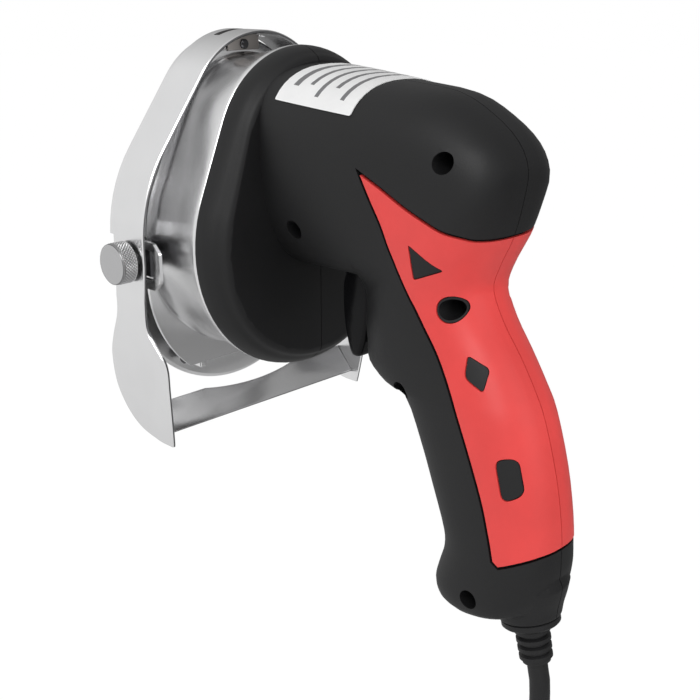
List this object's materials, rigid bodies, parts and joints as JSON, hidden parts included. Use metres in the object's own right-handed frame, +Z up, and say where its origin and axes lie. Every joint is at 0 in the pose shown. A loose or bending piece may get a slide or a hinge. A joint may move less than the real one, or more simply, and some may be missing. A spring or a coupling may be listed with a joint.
{
  "type": "electric kebab knife",
  "caption": "Hand-held electric slicer: round blade in a guard with an adjustable slice guide, driven through gears by a motor in a pistol-grip casing, with a mains cord.",
  "frame": {"origin": "middle of the pistol grip, where the hand holds it", "axes": "+Z up along the held grip, -Y the way the blade faces, +X the side of the casing screws"},
  "size_m": [0.1268, 0.1718, 0.4167],
  "materials": {
    "casing_black": "fine matt moulded grain",
    "grip_red": "satin soft-touch red",
    "plate_white": "blank satin film",
    "polished_metal": "polished",
    "sheet_steel": "bright rolled sheet",
    "blade_steel": "ground and polished",
    "turned_steel": "turned, satin",
    "dark_steel": "blackened",
    "cast_alloy": "as cast",
    "gear_steel": "oiled",
    "core_iron": "laminated, varnished",
    "winding_copper": "enamelled copper",
    "brush_carbon": "pressed carbon",
    "inner_plastic": "moulded",
    "trigger_gloss": "high gloss",
    "cord_rubber": "satin",
    "tie_plastic": "smooth"
  },
  "bodies": {
    "casing": {"housing_left": "casing_black", "housing_right": "casing_black", "grip_cover_left": "grip_red", "grip_cover_right": "grip_red", "rating_plate": "plate_white", "housing_screw_barrel": "dark_steel", "housing_screw_tail": "dark_steel", "housing_screw_neck": "dark_steel", "housing_screw_chin": "dark_steel", "housing_screw_heel": "dark_steel", "gear_housing": "polished_metal", "bearing_plate": "cast_alloy", "spindle_bearing_front": "turned_steel", "spindle_bearing_rear": "turned_steel", "motor_bearing_front": "turned_steel", "motor_bearing_rear": "turned_steel", "guard_dish": "sheet_steel", "tie_rod": "turned_steel", "crest_block": "cast_alloy", "crest_screw": "dark_steel", "stator_core": "core_iron", "field_coil_front": "winding_copper", "field_coil_rear": "winding_copper", "brush_left": "brush_carbon", "brush_right": "brush_carbon", "switch_body": "inner_plastic", "trigger_pin": "turned_steel", "strain_relief": "cord_rubber", "cord_lead": "cord_rubber", "cord_coil": "cord_rubber", "cord_tie": "tie_plastic", "plug_body": "cord_rubber", "plug_pin_left": "turned_steel", "plug_pin_right": "turned_steel"},
    "blade_unit": {"blade": "blade_steel", "spindle": "turned_steel", "blade_washer": "turned_steel", "blade_nut": "turned_steel", "driven_gear": "gear_steel"},
    "rotor": {"motor_shaft": "turned_steel", "pinion": "gear_steel", "fan": "inner_plastic", "armature_core": "core_iron", "armature_winding_front": "winding_copper", "armature_winding_rear": "winding_copper", "commutator": "winding_copper"},
    "trigger": {"trigger": "trigger_gloss"},
    "switch_plunger": {"switch_plunger": "inner_plastic"},
    "slice_guide": {"guide_hoop": "sheet_steel", "guide_plate": "sheet_steel", "clamp_nut_left": "turned_steel", "clamp_nut_right": "turned_steel"},
    "knob_left": {"knob_left": "turned_steel", "knob_stud_left": "turned_steel"},
    "knob_right": {"knob_right": "turned_steel", "knob_stud_right": "turned_steel"}
  },
  "joints": [
    {"name": "blade_spin", "type": "hinge", "parent": "casing", "child": "blade_unit", "pos_m": [0, -0.134, 0.04], "axis": [0, 1, 0], "continuous": true},
    {"name": "motor_spin", "type": "hinge", "parent": "casing", "child": "rotor", "pos_m": [0, -0.134, 0.07687], "axis": [0, 1, 0], "continuous": true},
    {"name": "trigger_pull", "type": "hinge", "parent": "casing", "child": "trigger", "pos_m": [0, -0.057, 0.052], "axis": [1, 0, 0], "range_deg": [0, 5], "stiffness_Nm_per_rad": 0.6, "springref_deg": -2.86},
    {"name": "switch_push", "type": "slide", "parent": "casing", "child": "switch_plunger", "axis": [0, 1, 0], "range_m": [0, 0.00105]},
    {"name": "guide_slide", "type": "slide", "parent": "casing", "child": "slice_guide", "axis": [0, 1, 0], "range_m": [0, 0.0075]},
    {"name": "knob_turn_left", "type": "hinge", "parent": "slice_guide", "child": "knob_left", "pos_m": [0.058, -0.121, 0.0496], "axis": [1, 0, 0], "range_deg": [0, 360]},
    {"name": "knob_turn_right", "type": "hinge", "parent": "slice_guide", "child": "knob_right", "pos_m": [-0.058, -0.121, 0.0496], "axis": [1, 0, 0], "range_deg": [0, 360]}
  ],
  "couplings": [
    {"joint": "motor_spin", "follows": "blade_spin", "ratio": -2.6875},
    {"joint": "switch_push", "follows": "trigger_pull", "m_per_rad": 0.012}
  ]
}
